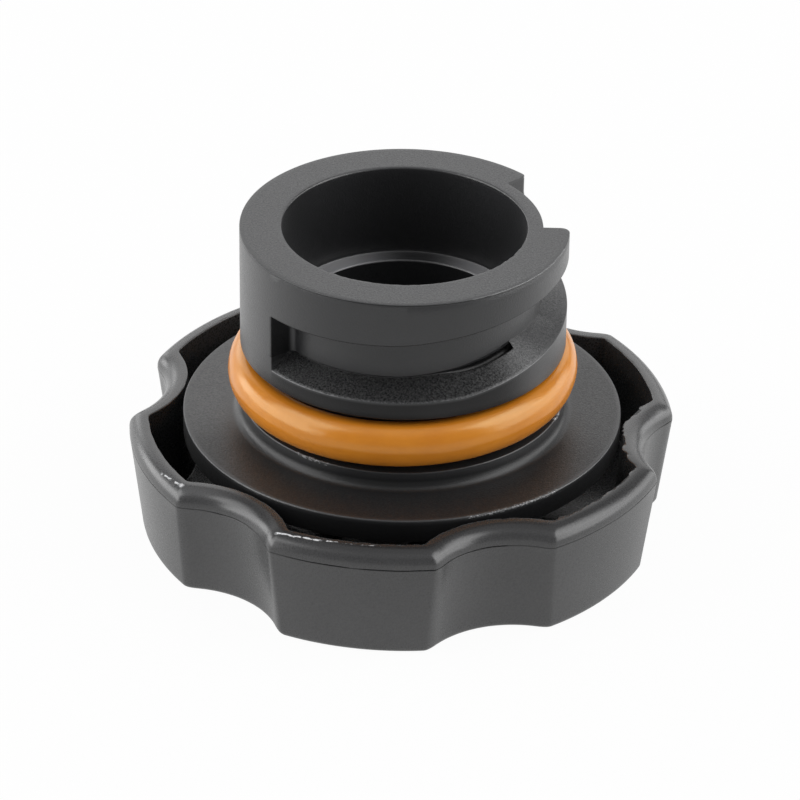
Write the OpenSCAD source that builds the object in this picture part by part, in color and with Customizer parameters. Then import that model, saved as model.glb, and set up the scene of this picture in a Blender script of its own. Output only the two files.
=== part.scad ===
// Oil filler cap with a one-start bayonet neck, standing on the outer face of its knob.
// Millimetres, +Z up. The origin is the centre of the knob's outer face.
// Azimuths are counted from -Y, which is the front, towards +X.

/* [Knob] */
// Diameter over the lobes, at the mould line below the rim
knob_d = 67.6; // [60:0.2:76]
// Height of the knob, from its outer face to its rim
knob_h = 14.9; // [12:0.1:20]
// Number of grip lobes, with as many scallops between them
lobes = 6; // [5:1:7]
// Azimuth of one scallop
scallop_az = 20; // [0:1:60]
// Radius of a scallop at the mould line
scallop_r = 10.6; // [9:0.1:11.5]
// Distance of a scallop's axis outside the lobes
scallop_out = 7.1; // [6:0.1:8]
// Wall of the knob behind its lobes, at the rim
lobe_wall = 2.4; // [1.8:0.1:3.2]
// Wall of the knob behind its scallops, at the rim
scallop_wall = 2.7; // [2.1:0.1:3.2]
// Thickness of the knob's outer face
face_t = 3; // [2:0.1:4.5]
// Draft of the knob's outer side, in degrees
draft = 6.5; // [2:0.5:8]
// Draft of the knob's inner side, in degrees
room_draft = 4.5; // [1:0.5:6]
// Height of the mould line below the rim
mould_line_drop = 2.2; // [1.8:0.1:3.5]
// Radius of the rim's outer edge
rim_round = 2; // [1:0.1:2.2]
// Radius of the edge round the outer face
face_round = 1; // [0.4:0.1:1.6]
// Height of the ring that holds the plug's hub
socket_h = 4; // [2:0.1:6]
// Wall of that ring
socket_wall = 2.2; // [1.4:0.1:3]

/* [Plug] */
// Diameter of the neck
neck_d = 40; // [37:0.5:42]
// Diameter of the bore in the neck
bore_d = 29.7; // [27:0.1:31]
// Wall between the bore and the cam track
core_wall = 1.95; // [1.4:0.05:2.2]
// Diameter of the bore below its ledge
well_d = 25.8; // [22:0.1:26.4]
// Depth of the ledge below the rim of the neck
ledge_depth = 11.8; // [9:0.1:16]
// Wall of the hub below the flange
hub_wall = 3; // [2:0.1:4]
// Thickness of the flange
flange_t = 3.2; // [2.2:0.1:4]
// Height of the flange's top over the rim of the knob
flange_proud = 0.5; // [0:0.1:1]
// Height of the shoulder between the flange and the seal groove
shoulder_h = 2.3; // [1.5:0.1:3.5]
// Fillet between the shoulder and the flange
shoulder_fillet = 1.2; // [0.4:0.1:1.5]
// Height of the collar above the seal groove, at the closed end of the track
collar_h = 2.25; // [1.6:0.05:3.5]
// Height of the rim band above the track, at the entry
band_h = 3.5; // [2:0.05:5]
// Radius of the rim's outer edge
neck_round = 0.35; // [0.2:0.05:0.8]
// Chamfer at the mouth of the bore
bore_chamfer = 0.35; // [0.2:0.05:0.8]

/* [Cam track] */
// Azimuth of the closed end of the track
track_end_az = -52; // [-70:1:-40]
// Arc of the whole track, in degrees
track_arc = 185; // [175:1:200]
// Arc of the entry notch through the rim band
notch_arc = 44; // [30:1:50]
// Height of the track at its closed end
track_h = 7.4; // [6:0.1:9]
// Arc of the ramp's locking part, which is nearly level
lock_arc = 74; // [60:1:85]
// Rise of the ramp's outer edge in that part
lock_rise = 0.25; // [0:0.05:0.8]
// Lead of the ramp's helix, in millimetres for one turn
helix_lead = 15.4; // [12:0.1:18]
// Arc in which the roof is nearly level
roof_lock_arc = 51; // [35:1:58]
// Rise of the roof in that arc
roof_lock_rise = 0.55; // [0:0.05:1]
// Arc in which the roof climbs
roof_climb_arc = 67; // [50:1:75]
// Rise of the roof in that arc
roof_climb = 2.1; // [1:0.1:3]
// Rise of the ramp from its outer edge to the core, at the closed end
ramp_crown = 1.85; // [0.5:0.05:2.2]
// The same rise where the helix begins
helix_crown = 2.45; // [0.5:0.05:2.8]
// The same rise at the entry
entry_crown = 1.35; // [0.5:0.05:2.2]
// Arc in which it falls to that
crown_fall_arc = 24; // [10:1:40]
// Arc of the relief groove between the ramp and the core
relief_arc = 103; // [80:1:130]
// Width of the relief groove
relief_w = 0.8; // [0.4:0.1:1.4]
// Depth of the relief groove
relief_depth = 0.7; // [0.4:0.1:1]

/* [Seal] */
// Diameter of the seal ring's section
seal_d = 4.7; // [3.6:0.1:5.4]

/* [Fits] */
// Play between the flange and the knob's scallop walls
flange_gap = 0.25; // [0.1:0.05:0.6]
// Play between the hub and its socket
hub_gap = 0.1; // [0.05:0.05:0.3]
// Room for the seal above it, and as much below it
seal_play = 1.25; // [0.8:0.05:1.5]
// Play between the seal and the floor of its groove
seal_gap = 0.05; // [0.02:0.01:0.1]

/* [Hidden] */
$fn = 96;
overcut = 1;

// Radii
knob_r = knob_d / 2;
scallop_axis = knob_r + scallop_out;
boss_r = scallop_r + scallop_wall;
flange_r = scallop_axis - boss_r - (flange_t - flange_proud) * tan(room_draft) - flange_gap;
neck_r = neck_d / 2;
bore_r = bore_d / 2;
core_r = bore_r + core_wall;
well_r = well_d / 2;
hub_r = well_r + hub_wall;
socket_r = hub_r + hub_gap;
seal_r = core_r + seal_gap + seal_d / 2;

// Heights, from the ground up
mould_line_z = knob_h - mould_line_drop;
flange_z = knob_h + flange_proud;
shoulder_z = flange_z + shoulder_h;
seal_z = shoulder_z + seal_play + seal_d / 2;
collar_z = seal_z + seal_d / 2 + seal_play;
track_z = collar_z + collar_h;
rim_z = track_z + track_h + roof_lock_rise + roof_climb + band_h;
ledge_z = rim_z - ledge_depth;
ledge_drop = 0.3;

// Cam track, as heights over the azimuth
track_step = 5;
relief_end_az = track_end_az + relief_arc;
relief_inset = 1.5;
track_start_az = track_end_az + track_arc;
helix_az = track_end_az + lock_arc;
roof_climb_az = track_end_az + roof_lock_arc;
function share(a, from, arc) = min(1, max(0, (a - from) / arc));
function edge_z(a) = track_z + lock_rise * share(a, track_end_az, lock_arc)
    + helix_lead / 360 * max(0, a - helix_az);
function crown(a) = ramp_crown
    + (helix_crown - ramp_crown) * share(a, roof_climb_az, helix_az - roof_climb_az)
    + (entry_crown - helix_crown) * share(a, relief_end_az, crown_fall_arc);
function ramp_z(a, r) = edge_z(a) + crown(a) * (neck_r - r) / (neck_r - core_r);
function roof_z(a) = track_z + track_h + roof_lock_rise * share(a, track_end_az, roof_lock_arc)
    + roof_climb * share(a, roof_climb_az, roof_climb_arc);
function at_azimuth(a, r, z) = [r * sin(a), -r * cos(a), z];

// Azimuths from one end of the track to another, in even steps
function azimuths(from, to) =
    let (n = ceil((to - from) / track_step)) [for (i = [0:n]) from + (to - from) * i / n];

// Points along an arc
function arc_points(centre, r, from, to, n = 5) =
    [for (i = [0:n]) let (t = from + (to - from) * i / n) centre + r * [cos(t), sin(t)]];

// Solid that joins one closed outline at each azimuth, given as rows of [radius, height]
module azimuth_loft(as, rows) {
    m = len(rows[0]);
    n = len(as);
    points = [for (i = [0:n - 1]) for (p = rows[i]) at_azimuth(as[i], p[0], p[1])];
    sides = [for (i = [0:n - 2]) for (j = [0:m - 1]) let (k = (j + 1) % m, a = i * m, b = a + m)
        each [[a + j, a + k, b + k], [a + j, b + k, b + j]]];
    first = [for (j = [0:m - 1]) m - 1 - j];
    last = [for (j = [0:m - 1]) (n - 1) * m + j];
    polyhedron(points, concat([first], sides, [last]));
}

module each_scallop() {
    for (i = [0:lobes - 1])
        rotate(scallop_az - 90 + i * 360 / lobes) translate([scallop_axis, 0]) children();
}

// Revolved blank of the knob, drafted below the mould line and rounded at both edges
module knob_blank() {
    foot_r = knob_r - mould_line_z * tan(draft);
    foot_centre = [foot_r - face_round * (1 - sin(draft)) / cos(draft), face_round];
    rim_centre = [knob_r - rim_round, knob_h - rim_round];
    rotate_extrude()
        polygon(concat(
            [[0, 0]], arc_points(foot_centre, face_round, -90, -draft), [[knob_r, mould_line_z]],
            arc_points(rim_centre, rim_round, 0, 90), [[0, knob_h]]
        ));
}

// Cutter for one scallop, which widens towards the outer face and flares at both edges
module scallop_cutter() {
    foot_r = scallop_r + mould_line_z * tan(draft);
    foot_centre = [foot_r + face_round * (1 - sin(draft)) / cos(draft), face_round];
    rim_centre = [scallop_r + rim_round, knob_h - rim_round];
    rotate_extrude()
        polygon(concat(
            [[0, -overcut], [foot_centre[0], -overcut]],
            arc_points(foot_centre, face_round, 270, 180 + draft), [[scallop_r, mould_line_z]],
            arc_points(rim_centre, rim_round, 180, 90),
            [[rim_centre[0], knob_h + overcut], [0, knob_h + overcut]]
        ));
}

// Room inside the knob, held back by the bosses that the scallops make in its wall
module knob_room() {
    room_r = knob_r - lobe_wall;
    room_h = knob_h - face_t;
    spread = room_h * tan(room_draft);
    over = overcut * tan(room_draft);
    difference() {
        translate([0, 0, face_t])
            cylinder(h = room_h + overcut, r1 = room_r - spread, r2 = room_r + over);
        each_scallop()
            translate([0, 0, face_t - overcut])
                cylinder(h = room_h + 3 * overcut, r1 = boss_r + spread + over, r2 = boss_r - 2 * over);
    }
}

// Ring on the knob's floor that the plug's hub stands in
module hub_socket() {
    translate([0, 0, face_t])
        rotate_extrude() translate([socket_r, -overcut]) square([socket_wall, socket_h + overcut]);
}

module knob() {
    color("#3c3d40")
        difference() {
            knob_blank();
            each_scallop() scallop_cutter();
            difference() {
                knob_room();
                hub_socket();
            }
        }
}

// Revolved blank of the plug: hub, flange, shoulder, seal groove, collar and rim, with its stepped bore
module plug_blank() {
    fillet_centre = [neck_r + shoulder_fillet, flange_z + shoulder_fillet];
    rim_centre = [neck_r - neck_round, rim_z - neck_round];
    rotate_extrude()
        polygon(concat(
            [[well_r, face_t], [hub_r, face_t], [hub_r, flange_z - flange_t],
             [flange_r, flange_z - flange_t], [flange_r, flange_z]],
            arc_points(fillet_centre, shoulder_fillet, 270, 180),
            [[neck_r, shoulder_z], [core_r, shoulder_z], [core_r, collar_z], [neck_r, collar_z]],
            arc_points(rim_centre, neck_round, 0, 90, 3),
            [[bore_r + bore_chamfer, rim_z], [bore_r, rim_z - bore_chamfer], [bore_r, ledge_z],
             [well_r, ledge_z - ledge_drop]]
        ));
}

// Room of the cam track, with its sloping ramp below and its roof above, run on past the entry wall
module track_room() {
    inner = core_r - core_wall / 2;
    outer = neck_r + overcut;
    as = azimuths(track_end_az, track_start_az + track_step);
    azimuth_loft(as, [for (a = as) [
        [inner, ramp_z(a, inner)], [outer, ramp_z(a, outer)], [outer, roof_z(a)], [inner, roof_z(a)]
    ]]);
}

// Narrow groove at the foot of the core, behind the crest of the ramp
module relief_room() {
    inner = core_r - core_wall / 3;
    outer = core_r + relief_w;
    as = azimuths(track_end_az + relief_inset, relief_end_az);
    azimuth_loft(as, [for (a = as) let (z = ramp_z(a, core_r)) [
        [inner, z - relief_depth], [outer, z - relief_depth], [outer, z + overcut], [inner, z + overcut]
    ]]);
}

// Wedge between two azimuths, from one height to another
module wedge(from, to, low, high) {
    far = neck_r * 2;
    translate([0, 0, low])
        linear_extrude(high - low)
            polygon([[0, 0], far * [sin(from), -cos(from)], far * [sin(to), -cos(to)]]);
}

// Entry notch, from the track up through the rim band, run on past the entry wall
module notch_room() {
    wedge(track_start_az - notch_arc, track_start_az + track_step,
        ramp_z(track_start_az, core_r) + overcut, rim_z + overcut);
}

// Block that stops the track and the notch at the entry wall
module entry_wall() {
    wedge(track_start_az, track_start_az + 2 * track_step, collar_z, rim_z + 2 * overcut);
}

module plug() {
    color("#46474a")
        difference() {
            plug_blank();
            difference() {
                union() {
                    track_room();
                    relief_room();
                    notch_room();
                }
                translate([0, 0, collar_z]) cylinder(h = rim_z + 2 * overcut - collar_z, r = core_r);
                entry_wall();
            }
        }
}

module o_ring() {
    color("#d98a35")
        translate([0, 0, seal_z]) rotate_extrude() translate([seal_r, 0]) circle(seal_d / 2);
}

knob();
plug();
o_ring();
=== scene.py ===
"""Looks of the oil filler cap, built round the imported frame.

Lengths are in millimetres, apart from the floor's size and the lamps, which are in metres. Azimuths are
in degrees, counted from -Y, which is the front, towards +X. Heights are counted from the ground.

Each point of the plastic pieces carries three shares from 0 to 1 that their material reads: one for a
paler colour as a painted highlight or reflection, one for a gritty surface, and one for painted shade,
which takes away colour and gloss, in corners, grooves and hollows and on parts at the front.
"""

import math

import bmesh
import bpy
import numpy as np
from mathutils import Matrix, Vector


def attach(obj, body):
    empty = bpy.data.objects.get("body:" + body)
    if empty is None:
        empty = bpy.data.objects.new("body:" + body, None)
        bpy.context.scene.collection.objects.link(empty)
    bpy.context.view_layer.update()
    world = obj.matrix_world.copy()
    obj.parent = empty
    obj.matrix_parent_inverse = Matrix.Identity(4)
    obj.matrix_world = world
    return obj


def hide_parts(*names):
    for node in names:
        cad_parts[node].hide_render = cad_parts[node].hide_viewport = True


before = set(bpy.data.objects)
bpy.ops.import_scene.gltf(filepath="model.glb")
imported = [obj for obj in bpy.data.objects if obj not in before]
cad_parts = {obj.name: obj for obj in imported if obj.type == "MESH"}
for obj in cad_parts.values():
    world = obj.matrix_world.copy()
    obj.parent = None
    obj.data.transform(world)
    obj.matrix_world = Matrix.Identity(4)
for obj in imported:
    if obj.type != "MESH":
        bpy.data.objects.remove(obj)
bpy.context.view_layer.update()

MM = 0.001
MERGE = 0.002

# Knob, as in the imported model
KNOB_R = 33.8
KNOB_H = 14.9
LOBES = 6
LOBE_STEP = 360 / LOBES
SCALLOP_AZ = 20.0
SCALLOP_R = 10.6
SCALLOP_AXIS = 40.9
BOSS_R = 13.3
LOBE_WALL = 2.4
FACE_T = 3.0
DRAFT_ANGLE = 6.5
DRAFT = math.tan(math.radians(DRAFT_ANGLE))
ROOM_DRAFT = math.tan(math.radians(4.5))
MOULD_LINE_Z = 12.7
RIM_ROUND = 2.0
FACE_ROUND = 1.0
SOCKET_R = 16.0
SOCKET_WALL = 2.2
SOCKET_H = 4.0
CORNER_BLEND = 1.0
INNER_BLEND = 0.5

# Where a scallop's corner lies, in degrees from the scallop's middle
SCALLOP_CORNER = (10, 17)

# Fine detail of the knob: mould line, torn inner edge of the rim, painted shade at the rim's front and in
# the room
MOULD_LINE_W = 0.17
MOULD_LINE_DEPTH = 0.07
MOULD_LINE_WANDER = 0.05
TORN_AZ = (33, 92)
FRAYED_AZ = (-30, 28)
TEAR_DEPTH = 0.42
TEAR_SPREAD = 0.28
TEAR_DROP = 0.12
ROOM_FILLET = 0.35
KNOB_RIM_DARK = 0.5
KNOB_RIM_DARK_AZ = (-38, 62)
ROOM_DARK = 0.35
ROOM_DARK_TOP = 12.5

# Plug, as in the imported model
NECK_R = 20.0
CORE_R = 16.8
TRACK_DEPTH = NECK_R - CORE_R
BORE_R = 14.85
WELL_R = 12.9
HUB_R = 15.9
FLANGE_R = 27.13
FLANGE_LOW = 12.2
FLANGE_Z = 15.4
FLANGE_FILLET = 1.2
SHOULDER_Z = 17.7
COLLAR_Z = 25.08
TRACK_Z = 27.15
RIM_Z = 40.7
LEDGE_Z = 28.9
TRACK_END = -52.0
TRACK_START = 133.0
NOTCH_START = 89.0
LOCK_END = 22.0
LOCK_RISE = 0.25
HELIX_LEAD = 15.4
ROOF_CLIMB_START = -1.0
ROOF_CLIMB_END = 66.0
ROOF_LOCK_RISE = 0.55
ROOF_CLIMB = 2.1
TRACK_H = 7.4
RAMP_CROWN = 1.85
HELIX_CROWN = 2.45
ENTRY_CROWN = 1.35
CROWN_FALL_END = 75.0
RELIEF_START = -50.5
RELIEF_END = 49.0
RELIEF_W = 0.8
RELIEF_DEPTH = 1.3
CREST_R = CORE_R + RELIEF_W
POCKET_FILLET = 0.75

# Fine detail of the plug: rounded edges and fillets
EDGE_ROUND = 0.10
HUB_BEVEL = 0.3
FLANGE_BEVEL = 0.4
FLANGE_ROUND = 0.22
SHOULDER_ROUND = 0.14
SEAL_SEAT_BEVEL = 0.3
COLLAR_ROUND = 0.12
NOTCH_CORNER = 1.0
ENTRY_CORNER = 0.6
WALL_FILLET = 0.2
RIM_EDGE_ROUND = 0.13
BORE_EDGE_ROUND = 0.26
WELL_EDGE_ROUND = 0.3

# Fine detail of the plug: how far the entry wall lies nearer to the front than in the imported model, the
# relief groove, the line under the rim's edge and the worn places
ENTRY_SHIFT = 1.5
RELIEF_OPENS = (RELIEF_START + 1.8, RELIEF_START + 2.1)
RELIEF_STOPS = (RELIEF_END - 0.25, RELIEF_END)
RELIEF_GROWS = (8, 36)
RELIEF_AT_FRONT = 0.12
UNDERCUT = 0.3
UNDERCUT_TOP = 0.3
RIM_LINE_DROP = 0.27
RIM_LINE_DENT = 0.05
FRAY_AZ = (17, 44)
FRAY_DEPTH = 0.07
CHEW_AZ = ((-41, -26), (69, 76))
CHEW_DEPTH = 0.07
# Azimuth of the ledge's back, where it has no painted reflection
LEDGE_DIM_AZ = 172.8

# Looks of the plug: shares of grit, of painted shade and of painted highlight
FLANGE_GRIT = 0.36
RIM_GRIT = 0.4
RAMP_GRIT = 0.45
FRONT_GRIT = 0.6
EDGE_GRIT = 0.6
EDGE_SHINE = 0.35
FLANGE_SIDE_DARK = 0.5
COLLAR_EDGE_DARK = 0.6
COLLAR_LOW_DARK = 0.5
COLLAR_HIGH_DARK = 0.55
RAMP_DARK = 0.65
GROOVE_DARK = 0.72
FOOT_DARK = 0.7
POCKET_DARK = 0.6
END_WALL_DARK = 0.5
ROOF_EDGE_DARK = 0.55
RIM_EDGE_DARK = 0.5

# Seal, tilted and drawn higher as in the photo
SEAL_R = 19.2
SEAL_SECTION = 4.7
SEAL_Z = 21.3
SEAL_TILT = 0.42
SEAL_STRETCH = 1.22
SEAL_INSET = 0.04
SEAL_WAVE = 0.012
SEAL_LINE = 0.035
SEAL_LINE_ANGLE = 2
SEAL_LINE_SPREAD = 3.5


def share(value, low, high):
    """How far value is from low to high, held between 0 and 1."""
    return np.clip((np.asarray(value, float) - low) / (high - low), 0, 1)


def smooth(t):
    """A share with a soft start and end."""
    return t * t * (3 - 2 * t)


def window(az, start, stop, soft):
    """1 between two azimuths, falling to 0 over soft degrees outside them."""
    az = (np.asarray(az, float) + 180) % 360 - 180
    return smooth(share(az, start - soft, start)) * (1 - smooth(share(az, stop, stop + soft)))


def ripple(x, seed):
    """Smooth one-dimensional noise of four octaves, between about -1 and 1."""
    rng = np.random.default_rng(seed)
    size = 4096
    total = np.zeros_like(x, float)
    for octave in range(4):
        table = rng.uniform(-1, 1, size)
        place = x * 2.0**octave
        cell = np.floor(place).astype(int)
        t = smooth(place - cell)
        total += (table[cell % size] * (1 - t) + table[(cell + 1) % size] * t) * 0.5**octave
    return total / 1.6


def arc(centre, radius, start, stop, n):
    """Points [r, z] along an arc, angles in degrees from the outward direction."""
    t = np.radians(np.linspace(start, stop, n + 1))
    return [(centre[0] + radius * math.cos(a), centre[1] + radius * math.sin(a)) for a in t]


def soft_min(a, b, blend):
    """The smaller of two radii, with the corner between them rounded."""
    h = np.maximum(blend - np.abs(a - b), 0) / blend
    return np.minimum(a, b) - h * h * blend / 4


def grid_faces(rows, columns):
    """Quads of a grid whose rows close up round the axis."""
    i = np.arange(rows)[:, None]
    j = np.arange(columns - 1)[None, :]
    k = (i + 1) % rows
    quads = np.stack([i * columns + j, k * columns + j, k * columns + j + 1, i * columns + j + 1], -1)
    return quads.reshape(-1, 4)


def new_piece(name, points, faces, material, node, attributes=()):
    """Mesh object from points in millimetres, smooth, with normals weighted by face area.

    Points that coincide are joined, so folded rows and columns leave no empty faces.
    """
    faces = [tuple(int(v) for v in f) for f in faces]
    mesh = bpy.data.meshes.new(name)
    mesh.from_pydata([tuple(p) for p in points * MM], [], faces)
    for key, values in attributes:
        layer = mesh.attributes.new(key, "FLOAT", "POINT")
        layer.data.foreach_set("value", np.asarray(values, np.float32))
    work = bmesh.new()
    work.from_mesh(mesh)
    bmesh.ops.remove_doubles(work, verts=work.verts, dist=MERGE * MM)
    work.to_mesh(mesh)
    work.free()
    mesh.update()
    mesh.shade_smooth()
    piece = bpy.data.objects.new(name, mesh)
    bpy.context.scene.collection.objects.link(piece)
    mesh.materials.append(material)
    weigh = piece.modifiers.new("area_normals", "WEIGHTED_NORMAL")
    weigh.mode = "FACE_AREA"
    weigh.weight = 60
    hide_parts(node)
    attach(piece, "root")
    return piece


class Turned:
    """A mesh built of rings round the axis, one after another, each with its looks."""

    def __init__(self, az):
        self.az = az
        self.rings = []
        self.looks = {"pale": [], "coarse": [], "deep": []}

    def row(self, radius, z, az=None, **looks):
        """Add a ring. Radius, height and looks are numbers or run with the azimuth."""
        az = self.az if az is None else az
        a = np.radians(az)
        radius, z = radius + 0 * az, z + 0 * az
        self.rings.append(np.stack([radius * np.sin(a), -radius * np.cos(a), z], -1))
        for key, values in self.looks.items():
            values.append(looks.get(key, 0.0) + 0 * az)

    def piece(self, name, material, slot, node):
        points = np.stack(self.rings, 1).reshape(-1, 3)
        faces = grid_faces(len(self.az), len(self.rings))
        looks = [(key, np.stack(values, 1).reshape(-1)) for key, values in self.looks.items()]
        return new_piece(name, points, faces, material, node, looks)


# Shader nodes

# Sockets of a colour mix node
MIX_A, MIX_B, MIX_OUT = 6, 7, 2


def node_tree(name):
    material = bpy.data.materials.new(name)
    material.use_nodes = True
    nodes, links = material.node_tree.nodes, material.node_tree.links
    return material, nodes, links, nodes["Principled BSDF"]


def add(nodes, kind, **inputs):
    """New node with some of its inputs set, their names with _ for a space."""
    node = nodes.new(kind)
    for key, value in inputs.items():
        node.inputs[key.replace("_", " ")].default_value = value
    return node


def feed(links, value, socket):
    """Set a socket to a float or a colour, or link it to another socket."""
    if isinstance(value, (float, tuple)):
        socket.default_value = value
    else:
        links.new(value, socket)


def maths(nodes, links, operation, *values):
    """Result of a math node."""
    node = nodes.new("ShaderNodeMath")
    node.operation = operation
    for value, socket in zip(values, node.inputs):
        feed(links, value, socket)
    return node.outputs[0]


def times(nodes, links, first, *others):
    """Product of two or more values."""
    for other in others:
        first = maths(nodes, links, "MULTIPLY", first, other)
    return first


def millimetres(nodes, links):
    """Object coordinates in millimetres."""
    where = nodes.new("ShaderNodeTexCoord")
    scale = nodes.new("ShaderNodeVectorMath")
    scale.operation = "SCALE"
    scale.inputs["Scale"].default_value = 1 / MM
    links.new(where.outputs["Object"], scale.inputs[0])
    return scale.outputs["Vector"]


def noise(nodes, links, vector, scale, detail=3.0, rough=0.6):
    node = add(nodes, "ShaderNodeTexNoise", Scale=scale, Detail=detail, Roughness=rough)
    links.new(vector, node.inputs["Vector"])
    return node.outputs["Fac"]


def ranged(nodes, links, value, low, high, to_low=0.0, to_high=1.0):
    """A value's range from low to high, stretched to another range and held in it."""
    node = nodes.new("ShaderNodeMapRange")
    node.inputs["From Min"].default_value = low
    node.inputs["From Max"].default_value = high
    node.inputs["To Min"].default_value = to_low
    node.inputs["To Max"].default_value = to_high
    links.new(value, node.inputs["Value"])
    return node.outputs["Result"]


def spread(nodes, links, cloud, low=0.0, high=1.0):
    """Noise, of which nearly all lies between 0.3 and 0.7, stretched to a range."""
    return ranged(nodes, links, cloud, 0.3, 0.7, low, high)


def bump(nodes, links, height, distance, below=None):
    node = add(nodes, "ShaderNodeBump", Strength=1.0, Distance=distance * MM)
    links.new(height, node.inputs["Height"])
    if below is not None:
        links.new(below, node.inputs["Normal"])
    return node.outputs["Normal"]


def attribute(nodes, name):
    node = nodes.new("ShaderNodeAttribute")
    node.attribute_name = name
    return node.outputs["Fac"]


def mixed(nodes, links, factor, a, b):
    """Colour mix of a towards b."""
    node = nodes.new("ShaderNodeMix")
    node.data_type = "RGBA"
    links.new(factor, node.inputs["Factor"])
    feed(links, a, node.inputs[MIX_A])
    feed(links, b, node.inputs[MIX_B])
    return node.outputs[MIX_OUT]


def polar(nodes, links, where):
    """Azimuth in degrees, radius and height of the shaded point."""
    split = nodes.new("ShaderNodeSeparateXYZ")
    links.new(where, split.inputs[0])
    x, y, z = split.outputs
    turn = maths(nodes, links, "ARCTAN2", x, times(nodes, links, y, -1.0))
    flat = nodes.new("ShaderNodeVectorMath")
    flat.operation = "MULTIPLY"
    flat.inputs[1].default_value = (1, 1, 0)
    links.new(where, flat.inputs[0])
    radius = nodes.new("ShaderNodeVectorMath")
    radius.operation = "LENGTH"
    links.new(flat.outputs["Vector"], radius.inputs[0])
    return times(nodes, links, turn, 180 / math.pi), radius.outputs["Value"], z


def streak(nodes, links, where, place, az, radius, z, width, strength=1.0, speck=2.2, gaps=0.5):
    """Thin pale mark from one azimuth and radius to another, between two heights.

    It wanders by a part of its width and is broken up by noise of scale speck, more so where gaps is high.
    """
    angle, distance, height = place
    line = ranged(nodes, links, angle, az[0], az[1], radius[0], radius[1])
    off = maths(nodes, links, "SUBTRACT", distance, line)
    shake = spread(nodes, links, noise(nodes, links, where, 1.1, 2.0), -width * 0.6, width * 0.6)
    apart = maths(nodes, links, "ABSOLUTE", maths(nodes, links, "ADD", off, shake))
    band = ranged(nodes, links, apart, width * 0.35, width, 1.0, 0.0)
    soft_az, soft_z, soft_gap = 0.35, 0.02, 0.05
    inside = [
        ranged(nodes, links, angle, az[0] - soft_az, az[0] + soft_az),
        ranged(nodes, links, angle, az[1] - soft_az, az[1] + soft_az, 1.0, 0.0),
        ranged(nodes, links, height, z[0] - soft_z, z[0] + soft_z),
        ranged(nodes, links, height, z[1] - soft_z, z[1] + soft_z, 1.0, 0.0),
    ]
    specks = noise(nodes, links, where, speck, 3.0)
    broken = ranged(nodes, links, specks, gaps - soft_gap, gaps + soft_gap, 0.0, strength)
    return times(nodes, links, band, broken, *inside)


# Materials

# Scales of noise, in waves per millimetre, and depths of bumps
FLOW_SCALE = 0.12
FLOW_GAIN = 1.18
GRAIN_SCALE = 4.5
MOTTLE_SCALE = 4.2
COARSE_SCALE = 5.0
COARSE_DEPTH = 0.09
SHEEN_ROUGHNESS = 0.35
RUBBER_CLOUD_SCALE = 0.2
RUBBER_GRAIN_SCALE = 2.6
RUBBER_GRAIN_DEPTH = 0.012
# Colour towards which painted shade takes a surface
PAINTED_SHADE_COLOUR = (0.004, 0.004, 0.004, 1)
# Colour of scratches and worn edges, and of the painted highlight on the neck's rim
SCRATCH_AND_SHINE = (0.85, 0.86, 0.87, 1)


def plastic(name, colour, roughness, grain_depth, ior, sheen, marks=(), pale=None):
    """Moulded plastic: fine grain, faint flow marks, gritty parts, painted highlights, painted shade and
    pale marks.
    """
    material, nodes, links, shader = node_tree(name)
    where = millimetres(nodes, links)
    flow = spread(nodes, links, noise(nodes, links, where, FLOW_SCALE, 4.0))
    light = tuple(min(1.0, c * FLOW_GAIN) for c in colour[:3]) + (1.0,)
    base = mixed(nodes, links, flow, colour, light)
    # Paler colour where a highlight or reflection is painted in
    if pale:
        base = mixed(nodes, links, attribute(nodes, "pale"), base, pale)
    # Painted shade: colour taken towards near black
    base = mixed(nodes, links, attribute(nodes, "deep"), base, PAINTED_SHADE_COLOUR)
    place = polar(nodes, links, where)
    for mark in marks:
        base = mixed(nodes, links, streak(nodes, links, where, place, **mark), base, SCRATCH_AND_SHINE)
    links.new(base, shader.inputs["Base Color"])
    grain = noise(nodes, links, where, GRAIN_SCALE, 3.0, 0.65)
    haze = spread(nodes, links, grain, roughness - 0.05, roughness + 0.06)
    links.new(haze, shader.inputs["Roughness"])
    # Gritty parts sparkle, and painted shade takes the gloss away as well as the colour
    mottle = spread(nodes, links, noise(nodes, links, where, MOTTLE_SCALE, 2.0, 0.6), -1.0, 1.0)
    grit = attribute(nodes, "coarse")
    gloss = ranged(nodes, links, times(nodes, links, mottle, grit), -1, 1, 0.0, 1.0)
    clear = ranged(nodes, links, attribute(nodes, "deep"), 0, 1, 1.0, 0.0)
    links.new(times(nodes, links, gloss, clear), shader.inputs["Specular IOR Level"])
    coarse = times(nodes, links, noise(nodes, links, where, COARSE_SCALE, 3.0, 0.8), grit, grit)
    fine = bump(nodes, links, grain, grain_depth)
    links.new(bump(nodes, links, coarse, COARSE_DEPTH, fine), shader.inputs["Normal"])
    shader.inputs["IOR"].default_value = ior
    shader.inputs["Sheen Weight"].default_value = sheen
    shader.inputs["Sheen Roughness"].default_value = SHEEN_ROUGHNESS
    return material


def rubber(name, colour, second):
    """Orange rubber: slightly cloudy between two colours, with a soft gloss."""
    material, nodes, links, shader = node_tree(name)
    where = millimetres(nodes, links)
    cloud = spread(nodes, links, noise(nodes, links, where, RUBBER_CLOUD_SCALE, 4.0))
    links.new(mixed(nodes, links, cloud, colour, second), shader.inputs["Base Color"])
    grain = noise(nodes, links, where, RUBBER_GRAIN_SCALE, 3.0)
    links.new(spread(nodes, links, grain, 0.18, 0.27), shader.inputs["Roughness"])
    links.new(bump(nodes, links, grain, RUBBER_GRAIN_DEPTH), shader.inputs["Normal"])
    shader.inputs["IOR"].default_value = 1.8
    shader.inputs["Specular Tint"].default_value = (1.0, 0.96, 0.62, 1)
    return material
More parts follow.
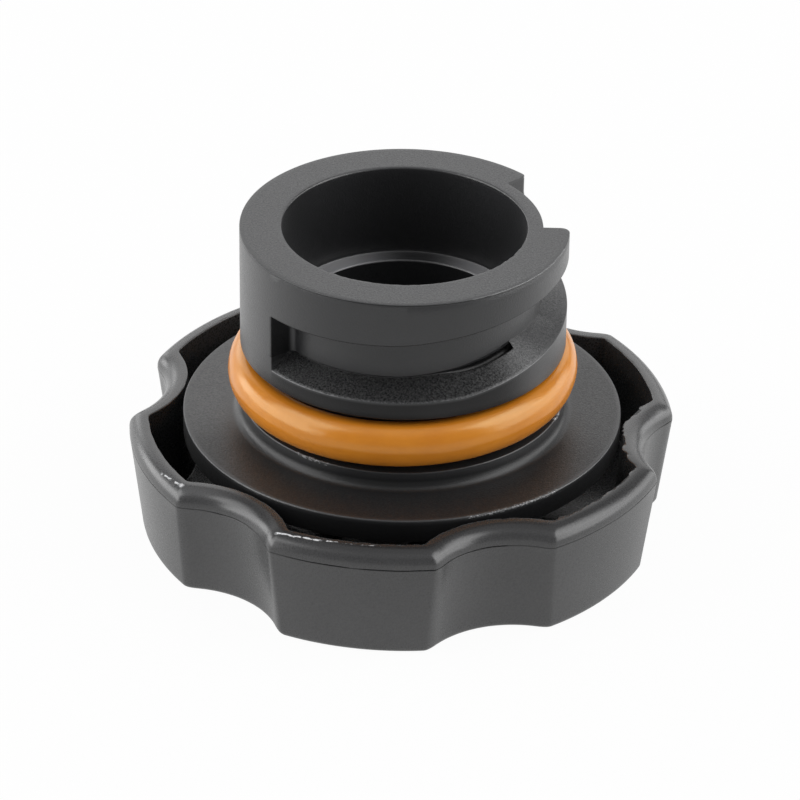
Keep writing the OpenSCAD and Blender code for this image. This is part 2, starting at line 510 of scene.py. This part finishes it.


# Pale marks: scratches on the knob's rim, worn edges of the flange and shoulder, a painted highlight on the
# neck's rim
ON_KNOB_RIM = dict(z=(13.6, 15.0))
ON_SHOULDER = dict(radius=(NECK_R - 0.05, NECK_R - 0.05), z=(17.3, 17.75))
KNOB_MARKS = (
    dict(ON_KNOB_RIM, az=(-61.4, -54.6), radius=(32.9, 32.5), width=0.16, gaps=0.5, speck=2.0),
    dict(ON_KNOB_RIM, az=(-54.9, -54.2), radius=(32.45, 32.45), width=0.3, gaps=0.1),
    dict(ON_KNOB_RIM, az=(-27.0, -14.5), radius=(32.5, 32.0), width=0.17, gaps=0.46, speck=1.8),
    dict(ON_KNOB_RIM, az=(-14.5, -4.0), radius=(32.0, 31.9), width=0.1, gaps=0.56, strength=0.5),
)
PLUG_MARKS = (
    dict(az=FRAY_AZ, radius=(27.05, 27.05), z=(15.1, 15.5), width=0.26, strength=0.4, gaps=0.56, speck=5.0),
    dict(ON_SHOULDER, az=(-39.0, -26.0), width=0.25, strength=0.35, gaps=0.55, speck=2.6),
    # Painted highlight: a faint light line along the neck's rim edge
    dict(az=(24.0, 74.0), radius=(19.93, 19.93), z=(40.55, 40.8), width=0.07, strength=0.14, gaps=0.2),
    dict(ON_SHOULDER, az=(69.5, 75.0), width=0.3, strength=0.5, gaps=0.5, speck=3.2),
)
KNOB_PLASTIC = plastic(
    "knob_plastic", (0.045, 0.0452, 0.046, 1), roughness=0.28, grain_depth=0.006, ior=1.88, sheen=0.06,
    marks=KNOB_MARKS,
)
# The plug's paler colour is for painted highlights and reflections
PLUG_PLASTIC = plastic(
    "plug_plastic", (0.0205, 0.021, 0.0222, 1), roughness=0.33, grain_depth=0.034, ior=1.82, sheen=0.08,
    marks=PLUG_MARKS, pale=(0.30, 0.30, 0.31, 1),
)
SEAL_RUBBER = rubber("seal_rubber", (0.76, 0.268, 0.022, 1), (0.69, 0.228, 0.018, 1))


# Knob


def knob_azimuths():
    """Azimuths round the knob, closest where lobes and scallops meet."""
    near, far = SCALLOP_CORNER
    hollow = np.linspace(0, near, 16)[:-1]
    corner = np.linspace(near, far, 22)[:-1]
    lobe = np.linspace(far, LOBE_STEP / 2, 22)
    half = np.concatenate([hollow, corner, lobe])
    period = np.concatenate([-half[::-1][:-1], half])[:-1]
    return np.concatenate([SCALLOP_AZ + period + LOBE_STEP * i for i in range(LOBES)])


def scallop_reach(az, radius):
    """Distance from the knob's axis to the nearest scallop of that radius, along each azimuth."""
    off = np.radians((az - SCALLOP_AZ + LOBE_STEP / 2) % LOBE_STEP - LOBE_STEP / 2)
    square = radius**2 - (SCALLOP_AXIS * np.sin(off)) ** 2
    hit = SCALLOP_AXIS * np.cos(off) - np.sqrt(np.maximum(square, 0))
    return np.where(square > 0, hit, 1e3)


def outer_radius(az, inset):
    """Outline of the knob, set in from where it is widest."""
    return soft_min(KNOB_R - inset, scallop_reach(az, SCALLOP_R + inset), CORNER_BLEND)


def room_radius(az, z):
    """Outline of the knob's room at a height."""
    inset = (KNOB_H - z) * ROOM_DRAFT
    return soft_min(KNOB_R - LOBE_WALL - inset, scallop_reach(az, BOSS_R + inset), INNER_BLEND)


def knob_outside(knob):
    """Outer face, rounded foot and drafted wall."""
    lean = math.radians(DRAFT_ANGLE)
    foot_centre = MOULD_LINE_Z * DRAFT + FACE_ROUND * (1 - math.sin(lean)) / math.cos(lean)
    for part in (0.0, 0.35, 0.7, 0.93):
        knob.row(outer_radius(knob.az, foot_centre) * part, 0.0)
    for inset, z in arc((foot_centre, FACE_ROUND), FACE_ROUND, -90, DRAFT_ANGLE - 180, 6):
        knob.row(outer_radius(knob.az, inset), z)
    for z in np.linspace(1.6, MOULD_LINE_Z - MOULD_LINE_W, 9):
        knob.row(outer_radius(knob.az, (MOULD_LINE_Z - z) * DRAFT), z)


def knob_mould_line(knob, along):
    """Fine groove round the wall, shallower in places and not quite straight, with painted shade in it."""
    clean = smooth(share(ripple(along * 0.16, 5), -0.35, 0.15))
    depth = MOULD_LINE_DEPTH * (0.35 + 0.65 * clean)
    dark = 0.6 + 0.4 * clean
    wander = MOULD_LINE_WANDER * ripple(along * 0.35, 8)
    for shift, inside in ((-0.5, 0.0), (-0.25, 1.0), (0.25, 1.0), (0.5, 0.0)):
        z = MOULD_LINE_Z + shift * MOULD_LINE_W + wander
        knob.row(outer_radius(knob.az, 0.0) - inside * depth, z, deep=dark * inside)


def knob_rim(knob, along):
    """Rounded rim with painted shade at the front, and an inner edge that is torn at the right."""
    az = knob.az
    dark = KNOB_RIM_DARK * window(az, *KNOB_RIM_DARK_AZ, 14)
    for angle in np.linspace(0, 90, 15):
        inset = RIM_ROUND * (1 - math.cos(math.radians(angle)))
        z = KNOB_H - RIM_ROUND + RIM_ROUND * math.sin(math.radians(angle))
        knob.row(outer_radius(az, inset), z, deep=dark * share(angle, 25, 60))
    tear = (window(az, *TORN_AZ, 3) + 0.25 * window(az, *FRAYED_AZ, 4) + 0.12) * ripple(along * 0.9, 11)
    inner = room_radius(az, KNOB_H)
    flat = outer_radius(az, RIM_ROUND)
    knob.row(flat * 0.4 + (inner + tear * TEAR_SPREAD) * 0.6, KNOB_H, deep=dark)
    for drop, back in ((0.0, 0.10), (0.05, 0.02), (0.14, 0.0)):
        knob.row(inner - tear * TEAR_DEPTH + back, KNOB_H - drop - TEAR_DROP * np.abs(tear))


def knob_room(knob):
    """Drafted room, its floor and the socket ring that carries the plug, with painted shade low in the room.
    """
    for z in np.linspace(KNOB_H - 0.6, FACE_T + ROOM_FILLET, 9):
        knob.row(room_radius(knob.az, z), z, deep=ROOM_DARK * (z < ROOM_DARK_TOP))
    for inset, z in ((0.1, 0.12), (ROOM_FILLET, 0.0)):
        knob.row(room_radius(knob.az, FACE_T) - inset, FACE_T + z, deep=ROOM_DARK)
    outside = SOCKET_R + SOCKET_WALL
    for radius, z in ((outside, 0.0), (outside, SOCKET_H), (SOCKET_R, SOCKET_H), (SOCKET_R, 0.0)):
        knob.row(radius, FACE_T + z)
    for radius in (8.0, 0.0):
        knob.row(radius, FACE_T)


def make_knob():
    knob = Turned(knob_azimuths())
    along = knob.az * math.pi / 180 * KNOB_R
    knob_outside(knob)
    knob_mould_line(knob, along)
    knob_rim(knob, along)
    knob_room(knob)
    return knob.piece("knob_shell", KNOB_PLASTIC, "knob_plastic", "knob")


make_knob()


# Plug: the azimuths of its points and the heights of its track


def wall_path(az, facing, corner, fillet):
    """Azimuths and depths from 0 to 1 across a radial wall with a rounded corner and an inner fillet.

    facing is 1 where the cut lies towards larger azimuths, and -1 where it lies towards smaller ones.
    """
    turn = math.degrees(corner / NECK_R)
    path = [(az - facing * turn, 0.0)]
    for t in (18, 36, 54, 72, 90):
        t = math.radians(t)
        path.append((az - facing * turn * (1 - math.sin(t)), corner * (1 - math.cos(t)) / TRACK_DEPTH))
    sweep = math.degrees(fillet / CORE_R)
    for t in (0, 15, 30, 45, 60, 75, 90):
        t = math.radians(t)
        path.append((az + facing * sweep * (1 - math.cos(t)), 1 - fillet * (1 - math.sin(t)) / TRACK_DEPTH))
    return path if facing > 0 else path[::-1]


def plug_columns():
    """Azimuth, depth of the track and depth of the notch for each step round the plug."""
    columns = []

    def fill(start, stop, in_track, in_notch, extra=()):
        """Steps of about a degree between two walls."""
        inside = list(np.linspace(start, stop, max(2, int(stop - start)) + 1)[1:-1])
        for a in sorted(inside + list(extra)):
            columns.append((a, in_track, in_notch))

    end = wall_path(TRACK_END, 1, EDGE_ROUND, POCKET_FILLET)
    opening = wall_path(NOTCH_START, 1, NOTCH_CORNER, WALL_FILLET)
    entry = wall_path(TRACK_START - ENTRY_SHIFT, -1, ENTRY_CORNER, WALL_FILLET)
    columns += [(a, depth, 0.0) for a, depth in end]
    fill(end[-1][0], opening[0][0], 1.0, 0.0, RELIEF_OPENS + RELIEF_STOPS)
    columns += [(a, 1.0, depth) for a, depth in opening]
    fill(opening[-1][0], entry[0][0], 1.0, 1.0)
    columns += [(a, depth, depth) for a, depth in entry]
    fill(entry[-1][0], end[0][0] + 360, 0.0, 0.0)
    return np.array(columns)


def along_track(height):
    """A height over the azimuth, carried back evenly from the entry to the closed end outside the track."""

    def anywhere(az):
        back = share(az, TRACK_START, TRACK_END + 360)
        inside = height(np.clip(az, TRACK_END, TRACK_START))
        return inside + back * (height(TRACK_END) - height(TRACK_START))

    return anywhere


@along_track
def edge_height(az):
    """Height of the ramp's outer edge."""
    level = TRACK_Z + LOCK_RISE * share(az, TRACK_END, LOCK_END)
    return level + HELIX_LEAD / 360 * np.maximum(0, az - LOCK_END)


@along_track
def crown_height(az):
    """Rise of the ramp from its outer edge to the core."""
    gain = (HELIX_CROWN - RAMP_CROWN) * share(az, ROOF_CLIMB_START, LOCK_END)
    return RAMP_CROWN + gain + (ENTRY_CROWN - HELIX_CROWN) * share(az, RELIEF_END, CROWN_FALL_END)


@along_track
def roof_height(az):
    """Height of the track's roof."""
    level = TRACK_Z + TRACK_H + ROOF_LOCK_RISE * share(az, TRACK_END, ROOF_CLIMB_START)
    return level + ROOF_CLIMB * share(az, ROOF_CLIMB_START, ROOF_CLIMB_END)


clustered, track, notch = plug_columns().T
even = clustered[0] + 360 * np.arange(len(clustered)) / len(clustered)
edge, crown, roof = edge_height(clustered), crown_height(clustered), roof_height(clustered)
band_r = CORE_R + TRACK_DEPTH * (1 - notch)
# Where painted shade lies at the front of the collar and the ramp
shade = window(clustered, -44, 34, 22)
ramp_dark = RAMP_DARK * shade * track
ramp_grit = track * (RAMP_GRIT + FRONT_GRIT * window(clustered, -52, 20, 25))


def ramp_line(radius):
    """Height of the ramp at a radius."""
    return edge + crown * (NECK_R - radius) / TRACK_DEPTH


# Plug: its surface from the hub over the flange, the neck and the rim into the well


def ring(plug, points, **looks):
    """Rows of a turned surface, evenly spaced round the axis."""
    for radius, z in points:
        plug.row(radius, z, az=even, **looks)


def cut(plug, radius, z, **looks):
    """Row on the surface of the track, drawn out to the neck's wall where there is no track."""
    plug.row(NECK_R - (NECK_R - radius) * track, z, **looks)


def flange(plug):
    """Hub, flange and fillet. The flange's rim is frayed at the front right."""
    ring(plug, [(WELL_R, FACE_T), (HUB_R - HUB_BEVEL, FACE_T)])
    ring(plug, [(HUB_R, FACE_T + HUB_BEVEL), (HUB_R, FLANGE_LOW - HUB_BEVEL)])
    # Painted shade under and beside the flange
    under = [(HUB_R + HUB_BEVEL, FLANGE_LOW), (FLANGE_R - FLANGE_BEVEL, FLANGE_LOW)]
    side = [(FLANGE_R, FLANGE_LOW + FLANGE_BEVEL), (FLANGE_R, FLANGE_Z - 0.7)]
    ring(plug, under + side, deep=FLANGE_SIDE_DARK)
    fray = window(even, *FRAY_AZ, 4) * ripple(np.radians(even) * 60.0, 21)
    for radius, z in arc((FLANGE_R - FLANGE_ROUND, FLANGE_Z - FLANGE_ROUND), FLANGE_ROUND, 0, 90, 5):
        ring(plug, [(radius + FRAY_DEPTH * fray, z + 0.02 * fray)])
    # Painted shade on the flange's top and fillet, most at the front
    flange_shade = 0.3 * window(even, -65, 110, 25) + 0.2 * window(even, -60, 60, 20)
    top = [(radius, FLANGE_Z) for radius in (FLANGE_R - 0.6, FLANGE_R - 1.2, 24.5, 22.2)]
    ring(plug, top, deep=flange_shade, coarse=FLANGE_GRIT)
    fillet = arc((NECK_R + FLANGE_FILLET, FLANGE_Z + FLANGE_FILLET), FLANGE_FILLET, 270, 180, 12)
    ring(plug, fillet, deep=flange_shade)


def shoulder(plug):
    """Shoulder, chewed at two places, and the seal's groove."""
    chewed = sum(window(even, *az, 2) for az in CHEW_AZ)
    chew = CHEW_DEPTH * np.minimum(chewed * ripple(np.radians(even) * 42.0, 31), 0)
    ring(plug, [(NECK_R, SHOULDER_Z - 0.35)])
    for radius, z in arc((NECK_R - SHOULDER_ROUND, SHOULDER_Z - SHOULDER_ROUND), SHOULDER_ROUND, 0, 90, 4):
        ring(plug, [(radius, z + chew)])
    seat = SEAL_SEAT_BEVEL
    ring(plug, [(NECK_R - 0.8, SHOULDER_Z), (CORE_R + seat, SHOULDER_Z), (CORE_R, SHOULDER_Z + seat)])
    ring(plug, [(CORE_R, SEAL_Z), (CORE_R, COLLAR_Z - seat), (CORE_R + seat, COLLAR_Z)])


def collar(plug):
    """Wall between the seal's groove and the track, with painted shade at the front."""
    plug.row(NECK_R - 0.5, COLLAR_Z)
    for radius, z in arc((NECK_R - COLLAR_ROUND, COLLAR_Z + COLLAR_ROUND), COLLAR_ROUND, -90, 0, 4):
        plug.row(radius, z, deep=COLLAR_EDGE_DARK * shade)
    plug.row(NECK_R, COLLAR_Z + 0.8, deep=COLLAR_LOW_DARK * shade)
    cut(plug, NECK_R, edge - 0.35, deep=COLLAR_HIGH_DARK * shade * track)


def ramp(plug):
    """Ramp from its crisp outer edge, with a painted highlight at both sides of the front, to the crest."""
    slope = np.arctan2(crown, TRACK_DEPTH)
    centre = edge - EDGE_ROUND * (1 - np.sin(slope)) / np.cos(slope)
    # Where the edge's painted highlight lies
    lit = window(clustered, -51.5, 52, 12) - 0.85 * window(clustered, -14, 16, 12)
    for t in (0.0, 0.33, 0.67, 1.0):
        turn = t * (math.pi / 2 - slope)
        radius = NECK_R - EDGE_ROUND + EDGE_ROUND * np.cos(turn)
        z = centre + EDGE_ROUND * np.sin(turn)
        cut(plug, radius, z, coarse=EDGE_GRIT * t * ramp_grit, pale=EDGE_SHINE * track * lit * (0 < t < 1))
    # Painted shade on the ramp at the front
    for radius in np.linspace(NECK_R - 0.3, CREST_R + 0.08, 7):
        cut(plug, radius, ramp_line(radius), coarse=ramp_grit, deep=ramp_dark)


def core(plug):
    """Relief groove, which fades out to the front and stops square, and the core above it."""
    groove = share(clustered, *RELIEF_OPENS) * (1 - share(clustered, *RELIEF_STOPS))
    groove = groove * (RELIEF_AT_FRONT + (1 - RELIEF_AT_FRONT) * smooth(share(clustered, *RELIEF_GROWS)))
    # Painted shade at the core's foot beyond the groove and in the pocket's corner
    corner = FOOT_DARK * window(clustered, 46, 88, 3) + POCKET_DARK * window(clustered, -53, -49, 1)
    foot = ramp_line(CORE_R)
    crest = CREST_R * groove + (CORE_R + 0.12) * (1 - groove)
    cut(plug, crest, ramp_line(crest) - 0.01 * groove, coarse=ramp_grit, deep=ramp_dark)
    # The groove's walls and floor carry painted shade
    section = (
        (CREST_R, ramp_line(CREST_R) - 0.03, 0),
        (CREST_R - 0.03, foot - 0.75, GROOVE_DARK),
        (CREST_R - 0.06, foot - RELIEF_DEPTH, GROOVE_DARK),
        (CORE_R - UNDERCUT, foot - RELIEF_DEPTH, GROOVE_DARK),
        (CORE_R - UNDERCUT, foot - UNDERCUT_TOP, GROOVE_DARK),
        (CORE_R - 0.04, foot - UNDERCUT_TOP, GROOVE_DARK),
        (CORE_R, foot - 0.28, 0),
    )
    for radius, z, dark in section:
        radius = CORE_R + (radius - CORE_R) * groove
        z = foot + (z - foot) * groove
        cut(plug, radius, z, deep=dark * groove + corner * (1 - groove))
    cut(plug, CORE_R, foot, deep=corner)
    # Painted shade on the closed end's wall
    end_wall = END_WALL_DARK * window(clustered, -52.3, -51.9, 0.4)
    for t in (0.02, 0.3, 0.55, 0.8, 0.98):
        cut(plug, CORE_R, foot + (roof - foot) * t, deep=end_wall)


def track_roof(plug):
    """Roof of the track, which the notch cuts away."""

    def roof_row(radius, lift=0.0, dark=0.0):
        kept = CORE_R + (radius - CORE_R) * (1 - notch)
        plug.row(NECK_R - (NECK_R - kept) * np.maximum(track, notch), roof + lift, deep=dark * track)

    roof_row(CORE_R + 0.1)
    roof_row(NECK_R - 0.4)
    # Painted shadow along the roof's edge
    for back, lift in arc((-EDGE_ROUND, EDGE_ROUND), EDGE_ROUND, -90, 0, 3):
        roof_row(NECK_R + back, lift, ROOF_EDGE_DARK)
    roof_row(NECK_R, EDGE_ROUND + 0.06)


def rim(plug):
    """Rim band with a fine line under its edge, and the flat top of the rim."""
    line = RIM_Z - RIM_LINE_DROP
    for t in (0.35, 0.7):
        plug.row(band_r, roof + EDGE_ROUND + (line - roof) * t)
    for lift, dent in ((-0.13, 0.0), (-0.05, RIM_LINE_DENT), (0.03, RIM_LINE_DENT), (0.09, 0.0)):
        plug.row(band_r - dent, line + lift)
    # Painted shade on the lower part of the rim's rounded edge at the front
    rim_edge_shade = RIM_EDGE_DARK * window(clustered, -60, 25, 15)
    for back, lift in arc((-RIM_EDGE_ROUND, -RIM_EDGE_ROUND), RIM_EDGE_ROUND, 0, 90, 4):
        plug.row(band_r + back, RIM_Z + lift, deep=rim_edge_shade * (lift < -0.04))
    plug.row(band_r - 0.6, RIM_Z, coarse=RIM_GRIT)
    plug.row(16.0, RIM_Z, coarse=RIM_GRIT)
    ring(plug, [(BORE_R + 0.5, RIM_Z)], coarse=RIM_GRIT)


def bore(plug):
    """Bore with its jagged lip, the ledge, with a painted reflection except at the back, and the well."""
    lip = ripple(np.radians(even) * 31.0, 41)
    lip = lip * (0.08 * window(even, -34, 12, 10) + 0.13 * window(even, 38, 66, 6))
    for radius, z in arc((BORE_R + BORE_EDGE_ROUND, RIM_Z - BORE_EDGE_ROUND), BORE_EDGE_ROUND, 90, 180, 5):
        ring(plug, [(radius + lip, z)])
    ring(plug, [(BORE_R, z) for z in np.linspace(RIM_Z - 0.9, LEDGE_Z + 0.5, 6)])
    # Painted reflection on the ledge, fading out at the back
    lit = smooth(share(np.abs((even - LEDGE_DIM_AZ + 180) % 360 - 180), 3, 42))
    ring(plug, [(BORE_R, LEDGE_Z + 0.04)])
    ring(plug, [(BORE_R - 0.04, LEDGE_Z)], pale=lit)
    ring(plug, [(14.4, LEDGE_Z - 0.06), (13.8, LEDGE_Z - 0.12), (13.4, LEDGE_Z - 0.18)], pale=lit)
    for radius, z in arc((WELL_R + WELL_EDGE_ROUND, LEDGE_Z - 0.5), WELL_EDGE_ROUND, 90, 180, 5):
        ring(plug, [(radius, z)], pale=lit * (z > LEDGE_Z - 0.4))
    ring(plug, [(WELL_R, z) for z in (26.0, 20.0, 14.0, 8.0, FACE_T)])


def make_plug():
    plug = Turned(clustered)
    for part in (flange, shoulder, collar, ramp, core, track_roof, rim, bore):
        part(plug)
    return plug.piece("bayonet_plug", PLUG_PLASTIC, "plug_plastic", "plug")


make_plug()


# Seal


def make_seal():
    """Ring of the seal, slightly wavy, with a faint mould line just above where it is widest."""
    turns, sides = 360, 48
    a = np.radians(np.arange(turns) * 360 / turns)[:, None]
    t = np.radians(np.arange(sides + 1) * 360 / sides)[None, :]
    line = SEAL_LINE * np.exp(-(((np.degrees(t) % 360) - SEAL_LINE_ANGLE) / SEAL_LINE_SPREAD) ** 2)
    radius = SEAL_SECTION / 2 - SEAL_INSET + line + SEAL_WAVE * ripple(a * 9.0, 51)
    r = SEAL_R + radius * np.cos(t)
    z = SEAL_Z + SEAL_TILT * np.sin(a) + radius * SEAL_STRETCH * np.sin(t)
    points = np.stack([r * np.sin(a), -r * np.cos(a), z], -1).reshape(-1, 3)
    faces = grid_faces(turns, sides + 1)
    return new_piece("seal_ring", points, faces, SEAL_RUBBER, "o_ring")


make_seal()


# Floor: half its side is in metres, and the places of its glow are in millimetres

FLOOR_HALF = 1.2
FLOOR_COLOUR = (0.85, 0.85, 0.85, 1)
FLOOR_ROUGHNESS = 0.9
FLOOR_WHITE = 0.96
FRONT_GLOSS = 0.46
FRONT_Y = -50.0
BACK_Y = 30.0


def see_white(nodes, links):
    """1 for rays from the camera and for rays seen in gloss or through glass."""
    rays = nodes.new("ShaderNodeLightPath").outputs
    seen = maths(nodes, links, "MAXIMUM", rays["Is Camera Ray"], rays["Is Glossy Ray"])
    return maths(nodes, links, "MAXIMUM", seen, rays["Is Transmission Ray"])


def floor_glow(nodes, links):
    """White glow. In gloss it is dimmer towards the front, and to the camera it is the same all over."""
    split = nodes.new("ShaderNodeSeparateXYZ")
    links.new(millimetres(nodes, links), split.inputs[0])
    gloss = ranged(nodes, links, split.outputs["Y"], FRONT_Y, BACK_Y, FRONT_GLOSS, 1.0)
    camera = nodes.new("ShaderNodeLightPath").outputs["Is Camera Ray"]
    glow = add(nodes, "ShaderNodeEmission", Color=(1, 1, 1, 1))
    links.new(maths(nodes, links, "MAXIMUM", camera, gloss), glow.inputs["Strength"])
    return glow.outputs["Emission"]


def make_floor():
    """White floor that takes the shadow in the rest of the light."""
    mesh = bpy.data.meshes.new("floor")
    corners = [(x * FLOOR_HALF, y * FLOOR_HALF, 0) for x, y in ((-1, -1), (1, -1), (1, 1), (-1, 1))]
    mesh.from_pydata(corners, [], [(0, 1, 2, 3)])
    floor = bpy.data.objects.new("floor", mesh)
    bpy.context.scene.collection.objects.link(floor)
    material, nodes, links, shader = node_tree("white_floor")
    shader.inputs["Base Color"].default_value = FLOOR_COLOUR
    shader.inputs["Roughness"].default_value = FLOOR_ROUGHNESS
    blend = nodes.new("ShaderNodeMixShader")
    links.new(times(nodes, links, see_white(nodes, links), FLOOR_WHITE), blend.inputs["Fac"])
    links.new(shader.outputs["BSDF"], blend.inputs[1])
    links.new(floor_glow(nodes, links), blend.inputs[2])
    links.new(blend.outputs["Shader"], nodes["Material Output"].inputs["Surface"])
    mesh.materials.append(material)


make_floor()


# Sky and lamps

HORIZON = (0.16, 0.16, 0.163, 1)
ZENITH = (0.60, 0.60, 0.61, 1)
SKY_RISE = (0.6, 0.95)


def make_world():
    """White for the camera, and for the rest a dim sky that is lighter overhead."""
    world = bpy.data.worlds.new("studio")
    bpy.context.scene.world = world
    world.use_nodes = True
    nodes, links = world.node_tree.nodes, world.node_tree.links
    sky = nodes["Background"]
    where = nodes.new("ShaderNodeTexCoord")
    height = nodes.new("ShaderNodeSeparateXYZ")
    links.new(where.outputs["Generated"], height.inputs[0])
    rise = ranged(nodes, links, height.outputs["Z"], *SKY_RISE)
    links.new(mixed(nodes, links, rise, HORIZON, ZENITH), sky.inputs["Color"])
    white = add(nodes, "ShaderNodeBackground", Color=(1, 1, 1, 1), Strength=1.0)
    blend = nodes.new("ShaderNodeMixShader")
    path = nodes.new("ShaderNodeLightPath")
    links.new(path.outputs["Is Camera Ray"], blend.inputs["Fac"])
    links.new(sky.outputs["Background"], blend.inputs[1])
    links.new(white.outputs["Background"], blend.inputs[2])
    links.new(blend.outputs["Shader"], nodes["World Output"].inputs["Surface"])


make_world()

# Area lamps: name, place, width, height and watts. All are turned to one point.
LAMP_AIM = (0, 0, 0.02)
LAMPS = (
    ("back_light", (0, 1.1, 0.5), 1.8, 0.7, 3.9),
    ("back_left_light", (-0.6, 0.6, 0.2), 0.7, 0.35, 0.7),
    ("left_light", (-0.6, 0.0, 0.15), 0.9, 0.28, 1.85),
    ("right_light", (0.6, 0.05, 0.15), 0.9, 0.28, 1.5),
    ("high_left_light", (-0.6, -0.1, 0.55), 0.6, 0.5, 1.9),
    ("high_right_light", (0.6, -0.1, 0.55), 0.6, 0.5, 2.5),
)


def soft_box(name, place, width, height, watts):
    lamp = bpy.data.lights.new(name, "AREA")
    lamp.shape = "RECTANGLE"
    lamp.size, lamp.size_y = width, height
    lamp.energy = watts
    box = bpy.data.objects.new(name, lamp)
    box.location = place
    box.rotation_euler = (Vector(LAMP_AIM) - Vector(place)).to_track_quat("-Z", "Y").to_euler()
    bpy.context.scene.collection.objects.link(box)


for settings in LAMPS:
    soft_box(*settings)


# Camera, fitted to the photograph: target and distance in millimetres, angles in degrees

CAMERA_TARGET = (-0.26, 0.0, 15.99)
CAMERA_DISTANCE = 518.2
CAMERA_RISE = 30.73
CAMERA_ROLL = 0.81
CAMERA_FOCAL_PX = 4180.0
IMAGE_PX = 800
SENSOR = 36.0


def make_camera():
    rise, roll = math.radians(CAMERA_RISE), math.radians(CAMERA_ROLL)
    back = Vector((0, -math.cos(rise), math.sin(rise)))
    right = Vector((1, 0, 0))
    up = Vector((0, math.sin(rise), math.cos(rise)))
    across = right * math.cos(roll) + up * math.sin(roll)
    upward = up * math.cos(roll) - right * math.sin(roll)
    data = bpy.data.cameras.new("camera")
    data.sensor_width = SENSOR
    data.lens = SENSOR * CAMERA_FOCAL_PX / IMAGE_PX
    data.clip_start = 0.01
    camera = bpy.data.objects.new("camera", data)
    place = (Vector(CAMERA_TARGET) + back * CAMERA_DISTANCE) * MM
    turn = Matrix((across, upward, back)).transposed().to_4x4()
    camera.matrix_world = Matrix.Translation(place) @ turn
    bpy.context.scene.collection.objects.link(camera)
    bpy.context.scene.camera = camera


make_camera()

bpy.context.scene.view_settings.view_transform = "Standard"
